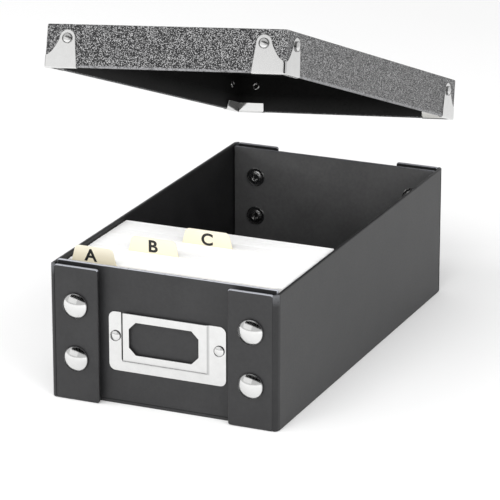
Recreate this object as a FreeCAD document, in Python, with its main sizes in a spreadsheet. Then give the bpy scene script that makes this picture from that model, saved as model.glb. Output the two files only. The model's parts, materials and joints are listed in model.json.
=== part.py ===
import FreeCAD, Part
import math
import os
import re

# Snap-together index card box, in millimetres.
# X runs from the left to the right of the labelled end, Y from that end to the back, Z up.
# The origin is the middle of the underside. The loose lid is held up and tipped back.

DIMENSIONS = {
    # box
    "box_width": 140.0,
    "box_length": 260.0,
    "box_height": 80.4,
    "board": 2.0,
    "crease_offset": 3.0,
    "crease_core": 0.7,
    "move_gap": 0.4,
    "flap_width": 30.0,
    "snap_room": 3.5,
    "front_panel_rise": 1.4,
    "back_panel_drop": 0.8,
    "back_crease_core": 1.0,
    # snap fasteners
    "front_snap_across": 54.0,
    "front_snap_low": 25.5,
    "front_snap_high": 57.3,
    "back_snap_across": 52.5,
    "back_snap_low": 35.5,
    "back_snap_high": 61.0,
    "cap_radius": 7.75,
    "cap_rise": 3.6,
    "cap_post": 1.6,
    "socket_radius": 5.6,
    "socket_bore": 2.7,
    "socket_depth": 2.4,
    "stud_flange_radius": 5.0,
    "stud_flange": 0.6,
    "stud_neck": 1.5,
    "stud_head": 1.9,
    "stud_length": 2.9,
    "panel_hole": 2.2,
    "eyelet_radius": 6.0,
    "eyelet_flange": 0.9,
    "eyelet_collar_radius": 3.4,
    "eyelet_collar": 1.7,
    "eyelet_hole": 1.5,
    "fit_gap": 0.05,
    # label holder
    "holder_width": 72.6,
    "holder_height": 35.5,
    "holder_middle": 0.6,
    "holder_low": 20.2,
    "holder_corner": 4.0,
    "holder_sheet": 0.6,
    "holder_raise": 1.2,
    "holder_left_strip": 8.0,
    "holder_right_strip": 10.1,
    "holder_low_strip": 5.6,
    "window_width": 42.9,
    "window_height": 19.4,
    "window_chamfer": 4.3,
    "window_middle_x": -1.1,
    "window_middle_z": 41.1,
    "holder_rivet_inset": 4.3,
    "holder_rivet_radius": 3.2,
    "holder_rivet_rise": 1.3,
    "holder_rivet_shank": 1.2,
    # cards
    "card_width": 127.0,
    "card_height": 76.2,
    "pack_width": 133.0,
    "pack_shift": -1.0,
    "guide_sheet": 0.6,
    "guide_gap": 0.3,
    "tab_base": 32.0,
    "tab_top": 27.0,
    "tab_rise": 9.0,
    "tab_step": 25.4,
    "guide_a_shift": -1.8,
    "guide_b_shift": -0.8,
    "guide_c_shift": -4.0,
    "guide_a_plane": -112.0,
    "guide_b_plane": -85.0,
    "guide_c_plane": -59.5,
    "stack_back": -36.0,
    # lid
    "lid_clearance": 1.8,
    "lid_height": 24.5,
    "lid_rim": 70.0,
    "lid_edge_round": 1.0,
    "plate_sheet": 0.4,
    "plate_base": 20.0,
    "plate_dip": 8.0,
    "plate_dip_run": 4.0,
    "plate_far_edge": 19.6,
    "tab_far_edge": 18.3,
    "tab_near_edge": 8.7,
    "lid_rivet_inset": 13.5,
    "lid_rivet_rise": 16.5,
    "plate_tab_radius": 4.8,
    "lip_turn": 5.0,
    "lid_rivet_radius": 3.0,
    "lid_rivet_dome": 1.4,
    "lid_rivet_shank": 1.3,
    "lid_rivet_clinch": 2.5,
    "lid_rivet_clinch_rise": 0.7,
    # how the lid is held up
    "lift_heading": 12.9,
    "lift_slope": 2.2,
    "lift_distance": 219.1,
    "lift_height": 33.3,
    "lift_angle": 20.84,
}

document = FreeCAD.newDocument("index_card_box")
sheet = document.addObject("Spreadsheet::Sheet", "Sizes")
for row, (name, value) in enumerate(DIMENSIONS.items(), start=1):
    sheet.set(f"A{row}", name)
    sheet.set(f"B{row}", str(value))
    sheet.setAlias(f"B{row}", name)
document.recompute()

LEFT, RIGHT = -1, 1
FRONT, BACK = -1, 1
SIDES = {"left": LEFT, "right": RIGHT}
ENDS = {"front": FRONT, "back": BACK}
X_AXIS = FreeCAD.Vector(1, 0, 0)
Y_AXIS = FreeCAD.Vector(0, 1, 0)
Z_AXIS = FreeCAD.Vector(0, 0, 1)
UPRIGHT_SHEET = FreeCAD.Rotation(X_AXIS, 90)
SIDE_SHEET = FreeCAD.Rotation(FreeCAD.Vector(1, 1, 1), 120)

nodes = []


def linked(formula):
    """The formula with each dimension's name turned into a reference to the sheet."""
    return re.sub(r"[a-z_]{4,}", lambda word: refer(word.group()), str(formula))


def refer(word):
    return f"Sizes.{word}" if word in DIMENSIONS else word


def bind(item, **formulas):
    for name, formula in formulas.items():
        item.setExpression(name, linked(formula))


def put(item, x, y, z):
    """Binds the item's place."""
    for letter, formula in (("x", x), ("y", y), ("z", z)):
        item.setExpression(f"Placement.Base.{letter}", linked(formula))


def block(name, x, y, z):
    """A box from three (low, high) pairs of formulas."""
    item = document.addObject("Part::Box", name)
    bind(
        item,
        Length=f"({x[1]}) - ({x[0]})",
        Width=f"({y[1]}) - ({y[0]})",
        Height=f"({z[1]}) - ({z[0]})",
    )
    put(item, x[0], y[0], z[0])
    return item


def rod(name, radius, length, x, y, z, heading):
    """A cylinder that starts at x, y, z and points along heading."""
    item = document.addObject("Part::Cylinder", name)
    bind(item, Radius=radius, Height=length)
    item.Placement.Rotation = FreeCAD.Rotation(Z_AXIS, heading)
    put(item, x, y, z)
    return item


def dome(name, radius, rise, x, y, z, heading):
    """A spherical cap whose flat side is centred on x, y, z and which bulges along heading."""
    ball = f"((({radius})^2 + ({rise})^2) / (2 * ({rise})))"
    item = document.addObject("Part::Sphere", name)
    bind(item, Radius=ball, Angle1=f"asin(({ball} - ({rise})) / {ball})")
    item.Placement.Rotation = FreeCAD.Rotation(Z_AXIS, heading)
    sunk = f"({ball} - ({rise}))"
    put(
        item,
        f"({x}) - {sunk} * ({heading.x:.0f})",
        f"({y}) - {sunk} * ({heading.y:.0f})",
        f"({z}) - {sunk} * ({heading.z:.0f})",
    )
    return item


def wedge(name, low_span, high_span, rise, thickness, rotation, x, y, z):
    """A flat trapezium: its foot and its head are (low, high) pairs of formulas."""
    item = document.addObject("Part::Wedge", name)
    bind(item, Xmin=low_span[0], Xmax=low_span[1], X2min=high_span[0], X2max=high_span[1])
    bind(item, Ymin=0, Ymax=rise, Zmin=0, Z2min=0, Zmax=thickness, Z2max=thickness)
    item.Placement.Rotation = rotation
    put(item, x, y, z)
    return item


def fuse(name, items):
    item = document.addObject("Part::MultiFuse", name)
    item.Shapes = items
    return item


def group(name, items):
    """Separate solids kept together in one sub-part."""
    item = document.addObject("Part::Compound", name)
    item.Links = items
    return item


def cut(name, base, tools):
    item = document.addObject("Part::Cut", name)
    item.Base = base
    item.Tool = tools[0] if len(tools) == 1 else group(f"{name}_openings", tools)
    return item


def edged(kind, name, base, size_name, picks):
    """The base with a fillet or chamfer on each edge that picks chooses."""
    document.recompute()
    size = sheet.get(size_name)
    item = document.addObject(kind, name)
    item.Base = base
    edges = base.Shape.Edges
    item.Edges = [(i, size, size) for i, edge in enumerate(edges, start=1) if picks(edge)]
    return item


def rounded(name, base, size_name, picks):
    return edged("Part::Fillet", name, base, size_name, picks)


def bevelled(name, base, size_name, picks):
    return edged("Part::Chamfer", name, base, size_name, picks)


def along(axis):
    """Chooses the straight edges that run along an axis."""

    def picks(edge):
        ends = [vertex.Point for vertex in edge.Vertexes]
        run = ends[1] - ends[0]
        return abs(run.dot(axis)) > 0.999 * run.Length

    return picks


def node(name, item):
    """Marks an object as a finished sub-part."""
    item.Label = name
    nodes.append(item)
    return item


# ---- Places that several pieces share ----

half_width = "box_width / 2"
half_length = "box_length / 2"
wall_inside = "box_width / 2 - board"
panel_outside = "box_length / 2 - board - snap_room"
panel_inside = "box_length / 2 - 2 * board - snap_room"
crease_x = "box_width / 2 - crease_offset"
crease_y = "box_length / 2 - crease_offset"


def span(sign, near, far):
    """The (low, high) pair of a stretch on the plus or the minus side."""
    if sign > 0:
        return (near, far)
    return (f"-({far})", f"-({near})")


def snap_places(end_name):
    """Each snap of one end, as (side name, level name, x, z)."""
    for side_name, side in SIDES.items():
        for level in ("low", "high"):
            x = f"{side} * {end_name}_snap_across"
            yield side_name, level, x, f"{end_name}_snap_{level}"


# ---- Floor, side walls and crease cores ----


def make_tray():
    floor = block(
        "bottom_panel",
        (f"-({wall_inside})", wall_inside),
        (f"-({panel_outside})", panel_outside),
        (0, "board"),
    )
    node("bottom_panel", floor)
    for side_name, side in SIDES.items():
        wall_end = f"{crease_y} - move_gap"
        wall = block(
            f"{side_name}_side_wall",
            span(side, wall_inside, half_width),
            (f"-({wall_end})", wall_end),
            (0, "box_height"),
        )
        node(f"{side_name}_side_wall", wall)
    for end_name, end in ENDS.items():
        for side_name, side in SIDES.items():
            name = f"{end_name}_{side_name}_crease"
            core = rod(
                name,
                "crease_core",
                "box_height - move_gap",
                f"{side} * ({crease_x})",
                f"{end} * ({crease_y})",
                "move_gap",
                Z_AXIS,
            )
            node(name, core)
    back_core = rod(
        "back_panel_crease",
        "back_crease_core",
        f"2 * ({wall_inside} - move_gap)",
        f"-({wall_inside} - move_gap)",
        f"{panel_inside} - back_crease_core",
        "board + back_crease_core",
        X_AXIS,
    )
    node("back_panel_crease", back_core)


# ---- End panels with the inner halves of the snaps ----


def make_end_panel(end_name, end, low, high):
    outward = Y_AXIS * end
    holes = []
    studs = []
    eyelets = []
    for side_name, level, x, z in snap_places(end_name):
        tag = f"{end_name}_{side_name}_{level}"
        inner_face = f"{end} * ({panel_inside})"
        outer_face = f"{end} * ({panel_outside})"
        holes.append(rod(f"{tag}_hole", "panel_hole", "board", x, inner_face, z, outward))
        studs.append(make_stud(tag, x, inner_face, outer_face, z, end, outward))
        eyelets.append(make_eyelet(tag, x, inner_face, z, outward * -1))
    if end == FRONT:
        for side in (LEFT, RIGHT):
            x = f"holder_middle + {side} * (holder_width / 2 - holder_rivet_inset)"
            z = "window_middle_z"
            shank_hole = "holder_rivet_shank + fit_gap"
            name = f"holder_hole_{side + 1}"
            holes.append(rod(name, shank_hole, "board", x, f"-({panel_inside})", z, outward))
    blank = block(
        f"{end_name}_panel_board",
        (f"-({wall_inside} - move_gap)", f"{wall_inside} - move_gap"),
        span(end, panel_inside, panel_outside),
        (low, high),
    )
    node(f"{end_name}_panel", cut(f"{end_name}_panel", blank, holes))
    node(f"{end_name}_snap_studs", group(f"{end_name}_snap_studs", studs))
    node(f"{end_name}_snap_eyelets", group(f"{end_name}_snap_eyelets", eyelets))


def make_stud(tag, x, inner_face, outer_face, z, end, outward):
    """Post through the panel, flange on its outside, and the head that enters the socket."""
    flange_face = f"{outer_face} + {end} * stud_flange"
    post_radius = "panel_hole - fit_gap"
    post = rod(f"{tag}_stud_post", post_radius, "board", x, inner_face, z, outward)
    flange_radius = "stud_flange_radius"
    flange = rod(f"{tag}_stud_flange", flange_radius, "stud_flange", x, outer_face, z, outward)
    neck_length = "stud_length - stud_flange - stud_head / 2"
    neck = rod(f"{tag}_stud_neck", "stud_neck", neck_length, x, flange_face, z, outward)
    head_start = f"{outer_face} + {end} * (stud_length - stud_head)"
    head = rod(f"{tag}_stud_head", "stud_head", "stud_head", x, head_start, z, outward)
    return fuse(f"{tag}_stud", [post, flange, neck, head])


def make_eyelet(tag, x, inner_face, z, inward):
    """Washer and rolled collar on the inside of the panel."""
    flange = rod(f"{tag}_eyelet_flange", "eyelet_radius", "eyelet_flange", x, inner_face, z, inward)
    collar_radius = "eyelet_collar_radius"
    collar = rod(f"{tag}_eyelet_collar", collar_radius, "eyelet_collar", x, inner_face, z, inward)
    bore = rod(f"{tag}_eyelet_bore", "eyelet_hole", "eyelet_collar", x, inner_face, z, inward)
    body = fuse(f"{tag}_eyelet_body", [flange, collar])
    return cut(f"{tag}_eyelet", body, [bore])


# ---- Corner flaps with the outer halves of the snaps ----


def make_flap(end_name, end, side_name, side):
    outward = Y_AXIS * end
    inner_face = f"{end} * ({half_length} - board)"
    outer_face = f"{end} * {half_length}"
    holes = []
    caps = []
    sockets = []
    for snap_side, level, x, z in snap_places(end_name):
        if snap_side != side_name:
            continue
        tag = f"{end_name}_{side_name}_{level}"
        hole_radius = "cap_post + fit_gap"
        holes.append(rod(f"{tag}_flap_hole", hole_radius, "board", x, inner_face, z, outward))
        cap_dome = dome(f"{tag}_cap_dome", "cap_radius", "cap_rise", x, outer_face, z, outward)
        post = rod(f"{tag}_cap_post", "cap_post", "board", x, inner_face, z, outward)
        caps.append(fuse(f"{tag}_cap", [cap_dome, post]))
        inward = outward * -1
        ring = rod(f"{tag}_socket_ring", "socket_radius", "socket_depth", x, inner_face, z, inward)
        bore = rod(f"{tag}_socket_bore", "socket_bore", "socket_depth", x, inner_face, z, inward)
        sockets.append(cut(f"{tag}_socket", ring, [bore]))
    blank = block(
        f"{end_name}_{side_name}_flap_board",
        span(side, "box_width / 2 - flap_width", crease_x),
        span(end, f"{half_length} - board", half_length),
        ("move_gap", "box_height"),
    )
    name = f"{end_name}_{side_name}_flap"
    node(name, cut(name, blank, holes))
    for label, solids in (("snap_caps", caps), ("snap_sockets", sockets)):
        group_name = f"{end_name}_{side_name}_{label}"
        node(group_name, group(group_name, solids))


# ---- Label holder ----


def make_label_holder():
    left = "(holder_middle - holder_width / 2)"
    right = "(holder_middle + holder_width / 2)"
    high = "holder_low + holder_height"
    back = f"-({panel_outside})"
    flange_front = f"{back} - holder_sheet"
    raised_back = f"{back} - holder_raise"
    raised_front = f"{raised_back} - holder_sheet"
    slot_start = f"{left} + holder_left_strip"
    step_x = f"{right} - holder_right_strip"
    step_z = "holder_low + holder_low_strip"
    blank = block("holder_blank", (left, right), (flange_front, back), ("holder_low", high))
    flange = rounded("holder_flange", blank, "holder_corner", along(Y_AXIS))
    slot_x = (slot_start, step_x)
    pocket = block("holder_pocket", slot_x, (flange_front, back), (step_z, high))
    raised_x = (f"{slot_start} + holder_raise", step_x)
    face = block("holder_face", raised_x, (raised_front, raised_back), (step_z, high))
    right_step = block(
        "holder_right_step",
        (f"{step_x} - holder_sheet", step_x),
        (raised_front, back),
        (step_z, high),
    )
    low_step = block(
        "holder_low_step",
        raised_x,
        (raised_front, back),
        (step_z, f"{step_z} + holder_sheet"),
    )
    window_blank = block(
        "holder_window_blank",
        ("window_middle_x - window_width / 2", "window_middle_x + window_width / 2"),
        (raised_front, raised_back),
        ("window_middle_z - window_height / 2", "window_middle_z + window_height / 2"),
    )
    window = bevelled("holder_window", window_blank, "window_chamfer", along(Y_AXIS))
    framed = cut("holder_framed", flange, [pocket])
    frame = cut("holder_frame", face, [window])
    stamped = fuse("holder_stamped", [framed, frame, right_step, low_step])
    holes = []
    rivets = []
    for side in (LEFT, RIGHT):
        tag = f"holder_rivet_{side + 1}"
        x = f"holder_middle + {side} * (holder_width / 2 - holder_rivet_inset)"
        z = "window_middle_z"
        hole_radius = "holder_rivet_shank + fit_gap"
        outward = Y_AXIS * -1
        holes.append(rod(f"{tag}_hole", hole_radius, "holder_sheet", x, back, z, outward))
        head_size = ("holder_rivet_radius", "holder_rivet_rise")
        head = dome(f"{tag}_head", *head_size, x, flange_front, z, outward)
        shank_length = "board + holder_sheet"
        shank = rod(f"{tag}_shank", "holder_rivet_shank", shank_length, x, flange_front, z, Y_AXIS)
        rivets.append(fuse(tag, [head, shank]))
    node("label_holder", cut("label_holder", stamped, holes))
    node("label_holder_rivets", group("label_holder_rivets", rivets))


# ---- Cards and guides ----


def make_cards():
    upright = ("board", "board + card_height")
    guides = ("guide_a", "guide_b", "guide_c")
    for place, guide in enumerate(guides):
        left = f"({guide}_shift - card_width / 2)"
        across = (left, f"{left} + card_width")
        back_face = f"{guide}_plane + guide_sheet / 2"
        thickness = (f"{guide}_plane - guide_sheet / 2", back_face)
        leaf = block(f"{guide}_leaf", across, thickness, upright)
        middle = f"({left} + tab_step * {place + 0.5})"
        tab = wedge(
            f"{guide}_tab",
            (f"{middle} - tab_base / 2", f"{middle} + tab_base / 2"),
            (f"{middle} - tab_top / 2", f"{middle} + tab_top / 2"),
            "tab_rise",
            "guide_sheet",
            UPRIGHT_SHEET,
            0,
            back_face,
            "board + card_height",
        )
        whole = fuse(f"{guide}_whole", [leaf, tab])
        trim = block(f"{guide}_trim", across, thickness, (0, "box_height * 2"))
        shaped = document.addObject("Part::Common", f"{guide}_card")
        shaped.Base = whole
        shaped.Tool = trim
        node(f"{guide}_card", shaped)
    ends = [f"{guide}_plane - guide_sheet / 2 - guide_gap" for guide in guides[1:]]
    ends.append("stack_back")
    pack_across = ("pack_shift - pack_width / 2", "pack_shift + pack_width / 2")
    for number, (guide, pack_end) in enumerate(zip(guides, ends), start=1):
        name = f"card_pack_{number}"
        pack_start = f"{guide}_plane + guide_sheet / 2 + guide_gap"
        node(name, block(name, pack_across, (pack_start, pack_end), upright))


# ---- Lid, drawn closed and then lifted ----

lid_inside_x = "box_width / 2 + lid_clearance"
lid_inside_y = "box_length / 2 + lid_clearance"
lid_outside_x = "box_width / 2 + lid_clearance + board"
lid_outside_y = "box_length / 2 + lid_clearance + board"
lid_ceiling = "lid_rim + lid_height - board"


def lifted():
    """The turn that takes the closed lid up and back to where it is held."""
    heading = math.radians(sheet.get("lift_heading"))
    slope = math.radians(sheet.get("lift_slope"))
    axis = FreeCAD.Vector(
        math.cos(heading) * math.cos(slope),
        math.sin(heading) * math.cos(slope),
        math.sin(slope),
    )
    pivot = FreeCAD.Vector(-math.sin(heading), math.cos(heading), 0) * sheet.get("lift_distance")
    pivot.z = sheet.get("lift_height")
    turn = FreeCAD.Rotation(axis, -sheet.get("lift_angle"))
    return FreeCAD.Placement(FreeCAD.Vector(0, 0, 0), turn, pivot)


def make_lid():
    pose = lifted()
    blank = block(
        "lid_top_board",
        (f"-({lid_outside_x})", lid_outside_x),
        (f"-({lid_outside_y})", lid_outside_y),
        (lid_ceiling, "lid_rim + lid_height"),
    )
    document.recompute()
    roof = sheet.get("lid_rim") + sheet.get("lid_height")

    def on_roof(edge):
        return all(abs(vertex.Point.z - roof) < 0.01 for vertex in edge.Vertexes)

    lid_pieces = [node("lid_top_panel", rounded("lid_top_panel", blank, "lid_edge_round", on_roof))]
    skirt_z = ("lid_rim", lid_ceiling)
    rivet_z = "lid_rim + lid_rivet_rise"
    hole_radius = "lid_rivet_shank + fit_gap"
    for end_name, end in ENDS.items():
        face = f"{end} * ({lid_inside_y})"
        skirt = block(
            f"lid_{end_name}_skirt_board",
            (f"-({lid_outside_x})", lid_outside_x),
            span(end, lid_inside_y, lid_outside_y),
            skirt_z,
        )
        holes = []
        for side_name, side in SIDES.items():
            x = f"{side} * ({lid_outside_x} - lid_rivet_inset)"
            tag = f"lid_{end_name}_{side_name}_skirt_hole"
            holes.append(rod(tag, hole_radius, "board", x, face, rivet_z, Y_AXIS * end))
        lid_pieces.append(node(f"lid_{end_name}_skirt", cut(f"lid_{end_name}_skirt", skirt, holes)))
    for side_name, side in SIDES.items():
        face = f"{side} * ({lid_inside_x})"
        skirt = block(
            f"lid_{side_name}_skirt_board",
            span(side, lid_inside_x, lid_outside_x),
            (f"-({lid_inside_y})", lid_inside_y),
            skirt_z,
        )
        holes = []
        for end_name, end in ENDS.items():
            y = f"{end} * ({lid_outside_y} - lid_rivet_inset)"
            tag = f"lid_{side_name}_{end_name}_skirt_hole"
            holes.append(rod(tag, hole_radius, "board", face, y, rivet_z, X_AXIS * side))
        lid_pieces.append(node(f"lid_{side_name}_skirt", cut(f"lid_{side_name}_skirt", skirt, holes)))
    for piece in lid_pieces:
        piece.Placement = pose
    make_lid_corners(pose)


def make_lid_corners(pose):
    """Four folded corner plates, each with two rivets, alike but for a quarter turn."""
    across = sheet.get("box_width") / 2 + sheet.get("lid_clearance") + sheet.get("board")
    along_box = sheet.get("box_length") / 2 + sheet.get("lid_clearance") + sheet.get("board")
    corners = (
        ("front_right", RIGHT, FRONT),
        ("back_right", RIGHT, BACK),
        ("back_left", LEFT, BACK),
        ("front_left", LEFT, FRONT),
    )
    for quarter, (name, side, end) in enumerate(corners):
        corner = FreeCAD.Vector(side * across, end * along_box, sheet.get("lid_rim"))
        spot = FreeCAD.Placement(corner, FreeCAD.Rotation(Z_AXIS, 90 * quarter))
        plate = node(f"lid_{name}_corner", make_corner_plate(f"lid_{name}"))
        plate.Placement = pose * spot
        rivets = node(f"lid_{name}_rivets", make_corner_rivets(f"lid_{name}"))
        rivets.Placement = pose * spot


def make_corner_plate(tag):
    """One corner at the origin: a leaf along -X facing -Y and a leaf along +Y facing +X."""
    leaf_foot = ("plate_dip_run", "plate_far_edge")
    leaf_head = ("tab_near_edge", "tab_far_edge")
    climb = "lid_rivet_rise - plate_dip"
    end_leaf = block(
        f"{tag}_end_leaf",
        ("-plate_base", "plate_sheet"),
        ("-plate_sheet", 0),
        ("-plate_sheet", "plate_dip"),
    )
    end_climb = wedge(
        f"{tag}_end_climb",
        (f"-({leaf_foot[1]})", f"-({leaf_foot[0]})"),
        (f"-({leaf_head[1]})", f"-({leaf_head[0]})"),
        climb,
        "plate_sheet",
        UPRIGHT_SHEET,
        0,
        0,
        "plate_dip",
    )
    end_spot = ("-lid_rivet_inset", 0, "lid_rivet_rise")
    side_spot = (0, "lid_rivet_inset", "lid_rivet_rise")
    outward = Y_AXIS * -1
    end_tab = rod(f"{tag}_end_tab", "plate_tab_radius", "plate_sheet", *end_spot, outward)
    side_leaf = block(
        f"{tag}_side_leaf",
        (0, "plate_sheet"),
        (0, "plate_base"),
        ("-plate_sheet", "plate_dip"),
    )
    side_climb = wedge(
        f"{tag}_side_climb", leaf_foot, leaf_head, climb, "plate_sheet", SIDE_SHEET, 0, 0, "plate_dip"
    )
    side_tab = rod(f"{tag}_side_tab", "plate_tab_radius", "plate_sheet", *side_spot, X_AXIS)
    end_lip = block(
        f"{tag}_end_lip", ("-plate_base", 0), (0, "board + plate_sheet"), ("-plate_sheet", 0)
    )
    end_turn = block(
        f"{tag}_end_turn",
        ("-plate_base", "-board"),
        ("board", "board + plate_sheet"),
        ("-plate_sheet", "lip_turn"),
    )
    side_lip = block(
        f"{tag}_side_lip", ("-board - plate_sheet", 0), (0, "plate_base"), ("-plate_sheet", 0)
    )
    side_turn = block(
        f"{tag}_side_turn",
        ("-board - plate_sheet", "-board"),
        ("board", "plate_base"),
        ("-plate_sheet", "lip_turn"),
    )
    leaves = [end_leaf, end_climb, end_tab, side_leaf, side_climb, side_tab]
    lips = [end_lip, end_turn, side_lip, side_turn]
    solid = fuse(f"{tag}_plate_blank", leaves + lips)
    hole_radius = "lid_rivet_shank + fit_gap"
    end_hole = rod(f"{tag}_end_hole", hole_radius, "plate_sheet", *end_spot, outward)
    side_hole = rod(f"{tag}_side_hole", hole_radius, "plate_sheet", *side_spot, X_AXIS)
    return cut(f"{tag}_corner", solid, [end_hole, side_hole])


def make_corner_rivets(tag):
    """A rivet in each leaf: domed head outside, shank, and the clinched end inside."""
    rivets = []
    for leaf, outward in (("end", Y_AXIS * -1), ("side", X_AXIS)):
        place = ("-lid_rivet_inset", 0) if leaf == "end" else (0, "lid_rivet_inset")
        head_face = tuple(
            f"{value} + ({direction:.0f}) * plate_sheet"
            for value, direction in zip(place, (outward.x, outward.y))
        )
        clinch_face = tuple(
            f"{value} - ({direction:.0f}) * board"
            for value, direction in zip(place, (outward.x, outward.y))
        )
        level = "lid_rivet_rise"
        head = dome(
            f"{tag}_{leaf}_head", "lid_rivet_radius", "lid_rivet_dome", *head_face, level, outward
        )
        shank_length = "plate_sheet + board"
        shank = rod(
            f"{tag}_{leaf}_shank", "lid_rivet_shank", shank_length, *head_face, level, outward * -1
        )
        clinch = rod(
            f"{tag}_{leaf}_clinch",
            "lid_rivet_clinch",
            "lid_rivet_clinch_rise",
            *clinch_face,
            level,
            outward * -1,
        )
        rivets.append(fuse(f"{tag}_{leaf}_rivet", [head, shank, clinch]))
    return group(f"{tag}_rivets", rivets)


# ---- Build, test and write ----


def write_parts():
    document.recompute()
    for item in document.Objects:
        bad = {"Invalid", "Error"} & set(item.State)
        if bad:
            raise RuntimeError(f"{item.Label} did not build: {item.State}")
    os.makedirs("parts", exist_ok=True)
    for item in nodes:
        shape = item.Shape
        if shape.isNull() or not shape.isValid() or not shape.Solids:
            raise RuntimeError(f"{item.Label} has no valid solid")
        shape.exportStep(f"parts/{item.Label}.step")
        print(f"{item.Label}: {len(shape.Solids)} solid(s), {shape.Volume / 1000:.2f} cm3")


make_tray()
make_end_panel("front", FRONT, "board", "box_height + front_panel_rise")
make_end_panel("back", BACK, "board + 2 * back_crease_core", "box_height - back_panel_drop")
for end_label, end_sign in ENDS.items():
    for side_label, side_sign in SIDES.items():
        make_flap(end_label, end_sign, side_label, side_sign)
make_label_holder()
make_cards()
make_lid()
write_parts()
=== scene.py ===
import json
import math
import random

import bmesh
import bpy
from mathutils import Matrix, Vector, noise
from mathutils.geometry import delaunay_2d_cdt


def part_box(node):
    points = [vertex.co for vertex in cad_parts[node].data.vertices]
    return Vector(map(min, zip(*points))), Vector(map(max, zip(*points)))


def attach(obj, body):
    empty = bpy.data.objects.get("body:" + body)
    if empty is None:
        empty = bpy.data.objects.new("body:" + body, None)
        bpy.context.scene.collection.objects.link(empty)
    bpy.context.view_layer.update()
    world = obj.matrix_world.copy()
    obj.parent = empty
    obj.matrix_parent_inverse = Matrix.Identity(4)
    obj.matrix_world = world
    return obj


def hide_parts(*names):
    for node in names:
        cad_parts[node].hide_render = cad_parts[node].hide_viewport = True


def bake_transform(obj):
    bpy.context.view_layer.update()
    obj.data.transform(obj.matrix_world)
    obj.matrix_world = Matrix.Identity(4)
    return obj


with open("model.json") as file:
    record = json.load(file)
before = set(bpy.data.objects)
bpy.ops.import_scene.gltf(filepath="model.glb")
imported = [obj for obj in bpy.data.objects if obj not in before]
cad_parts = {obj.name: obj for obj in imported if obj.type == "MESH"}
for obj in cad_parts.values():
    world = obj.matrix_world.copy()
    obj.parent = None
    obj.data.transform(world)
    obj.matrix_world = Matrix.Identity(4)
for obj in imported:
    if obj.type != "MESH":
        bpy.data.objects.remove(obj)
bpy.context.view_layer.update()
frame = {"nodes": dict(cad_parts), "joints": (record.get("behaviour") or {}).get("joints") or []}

# Snap-together index card box, in metres: covered board, nickel fittings, cards and a loose lid.

MM = 0.001
FRONT, BACK = -1, 1
LEFT, RIGHT = -1, 1
ENDS = {"front": FRONT, "back": BACK}
SIDES = {"left": LEFT, "right": RIGHT}

# ---- Mesh helpers ----


class Shape:
    """Points and faces gathered for one piece, with each point's wear or painted shade and each
    face's material.

    A broad face is a board's or a sheet's own face, which keeps a crisp border in shading.
    """

    def __init__(self):
        self.points = []
        self.wear = []
        self.faces = []
        self.finish = []
        self.broad = []

    def add(self, points, faces, finish=0, wear=None, broad=0):
        first = len(self.points)
        self.points.extend(points)
        self.wear.extend(wear or [0.0] * len(points))
        self.cover([tuple(first + i for i in face) for face in faces], finish, broad)

    def cover(self, faces, finish=0, broad=0):
        """Adds faces between points that the shape already has."""
        self.faces.extend(faces)
        self.finish.extend([finish] * len(faces))
        self.broad.extend([broad] * len(faces))

    def moved(self, matrix):
        self.points = [matrix @ point for point in self.points]


WELD = 0.002 * MM
PRESSED = {"smooth": 50, "bent": True}


def make_piece(name, shape, body, slot_name, finishes, stands_for, smooth=35, bent=False):
    """The mesh object of a shape, riding on a body and standing for CAD nodes.

    A piece without a body rides on none, and its caller bakes its transform. Edges that turn more
    than smooth degrees are sharp. A bent piece's broad faces are curved, and any other piece's
    flat.
    """
    mesh = bpy.data.meshes.new(name)
    mesh.from_pydata([tuple(point) for point in shape.points], [], shape.faces)
    wear = mesh.attributes.new("wear", "FLOAT", "POINT")
    wear.data.foreach_set("value", shape.wear)
    mesh.polygons.foreach_set("material_index", shape.finish)
    for finish in finishes:
        mesh.materials.append(finish)
    work = bmesh.new()
    work.from_mesh(mesh)
    broad = work.faces.layers.int.new("broad")
    for face, value in zip(work.faces, shape.broad):
        face[broad] = value
        face.smooth = bent or not value
    bmesh.ops.remove_doubles(work, verts=work.verts, dist=WELD)
    bmesh.ops.recalc_face_normals(work, faces=work.faces)
    for edge in work.edges:
        if len(edge.link_faces) == 2:
            border = sum(face[broad] for face in edge.link_faces) == 1
            edge.smooth = not border and edge.calc_face_angle() < math.radians(smooth)
    work.faces.layers.int.remove(broad)
    work.to_mesh(mesh)
    work.free()
    piece = bpy.data.objects.new(name, mesh)
    bpy.context.scene.collection.objects.link(piece)
    if body:
        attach(piece, body)
    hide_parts(*stands_for)
    return piece


def skin(rings, closed=True, joined=False):
    """Quads over rings of equal length; joined closes the last ring to the first."""
    count = len(rings[0])
    faces = []
    for i in range(len(rings) if joined else len(rings) - 1):
        ahead = (i + 1) % len(rings)
        for j in range(count if closed else count - 1):
            beside = (j + 1) % count
            quad = (i * count + j, i * count + beside, ahead * count + beside, ahead * count + j)
            faces.append(quad)
    return [point for ring in rings for point in ring], faces


def arc(centre_x, centre_y, radius, start, end, steps):
    """Points on an arc from start to end, in degrees."""
    angles = [math.radians(start + (end - start) * i / steps) for i in range(steps + 1)]
    return [(centre_x + radius * math.cos(a), centre_y + radius * math.sin(a)) for a in angles]


def lathe(shape, profile, centre, heading, joined=False, segments=40, rim_shade=()):
    """Turns a (radius, height) profile about the heading through centre.

    rim_shade is the darkening of each point of the profile, painted shade in the turn of a cap's
    rim.
    """
    turn = heading.to_track_quat("Z", "Y").to_matrix()
    rings = []
    for radius, height in profile:
        ring = []
        for i in range(segments):
            angle = math.tau * i / segments
            local = Vector((radius * math.cos(angle), radius * math.sin(angle), height))
            ring.append(centre + turn @ local)
        rings.append(ring)
    wear = [value for value in rim_shade for _ in range(segments)]
    shape.add(*skin(rings, joined=joined), wear=wear)


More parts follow.
